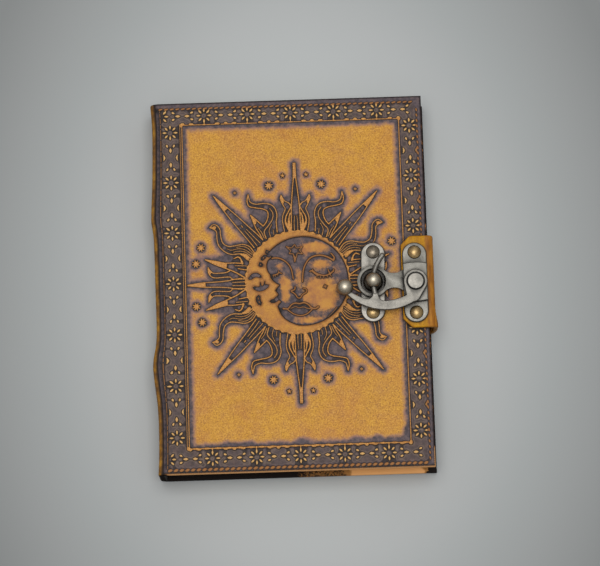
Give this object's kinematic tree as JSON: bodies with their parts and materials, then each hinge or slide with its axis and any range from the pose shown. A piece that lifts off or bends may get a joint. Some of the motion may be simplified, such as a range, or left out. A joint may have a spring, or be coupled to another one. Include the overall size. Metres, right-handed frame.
{
  "type": "leather diary",
  "caption": "Leather-bound diary with an embossed sun-and-moon cover, flower border, wrap strap and swing clasp with a ball-ended arm.",
  "frame": {"origin": "middle of the back cover's outer face, on the surface the diary lies on", "axes": "+X from the spine to the fore edge, +Y to the head of the book, +Z out of the front cover"},
  "size_m": [0.1338, 0.1787, 0.0342],
  "materials": {
    "embossed_leather": "embossed, dark violet wiped into the sunk parts, worn tan on the raised parts",
    "strap_leather": "smooth ochre",
    "paper": "handmade paper with soft edges",
    "antique_silver": "matte antique silver",
    "dark_bronze": "polished dark bronze",
    "rivet_grey": "satin gunmetal",
    "rivet_brass": "satin antique brass"
  },
  "bodies": {
    "diary": {"leather_cover": "embossed_leather", "page_block": "paper", "strap": "strap_leather", "catch_plate": "antique_silver", "catch_post": "dark_bronze", "strap_plate": "antique_silver", "hasp_tongue": "antique_silver", "pivot_stud": "antique_silver", "catch_rivet_upper": "rivet_grey", "catch_rivet_lower": "rivet_brass", "strap_rivet_upper": "rivet_brass", "strap_rivet_lower": "rivet_brass", "catch_rivet_upper_cap": "rivet_brass", "catch_rivet_lower_cap": "rivet_brass", "strap_rivet_upper_cap": "rivet_brass", "strap_rivet_lower_cap": "rivet_brass"},
    "arm": {"swing_arm": "antique_silver", "arm_knob": "dark_bronze"}
  },
  "joints": [
    {"name": "swing_arm_turn", "type": "hinge", "parent": "diary", "child": "arm", "pos_m": [0.0583, -0.0021, 0.0311], "axis": [0, 0, 1], "range_deg": [0, 290]}
  ]
}
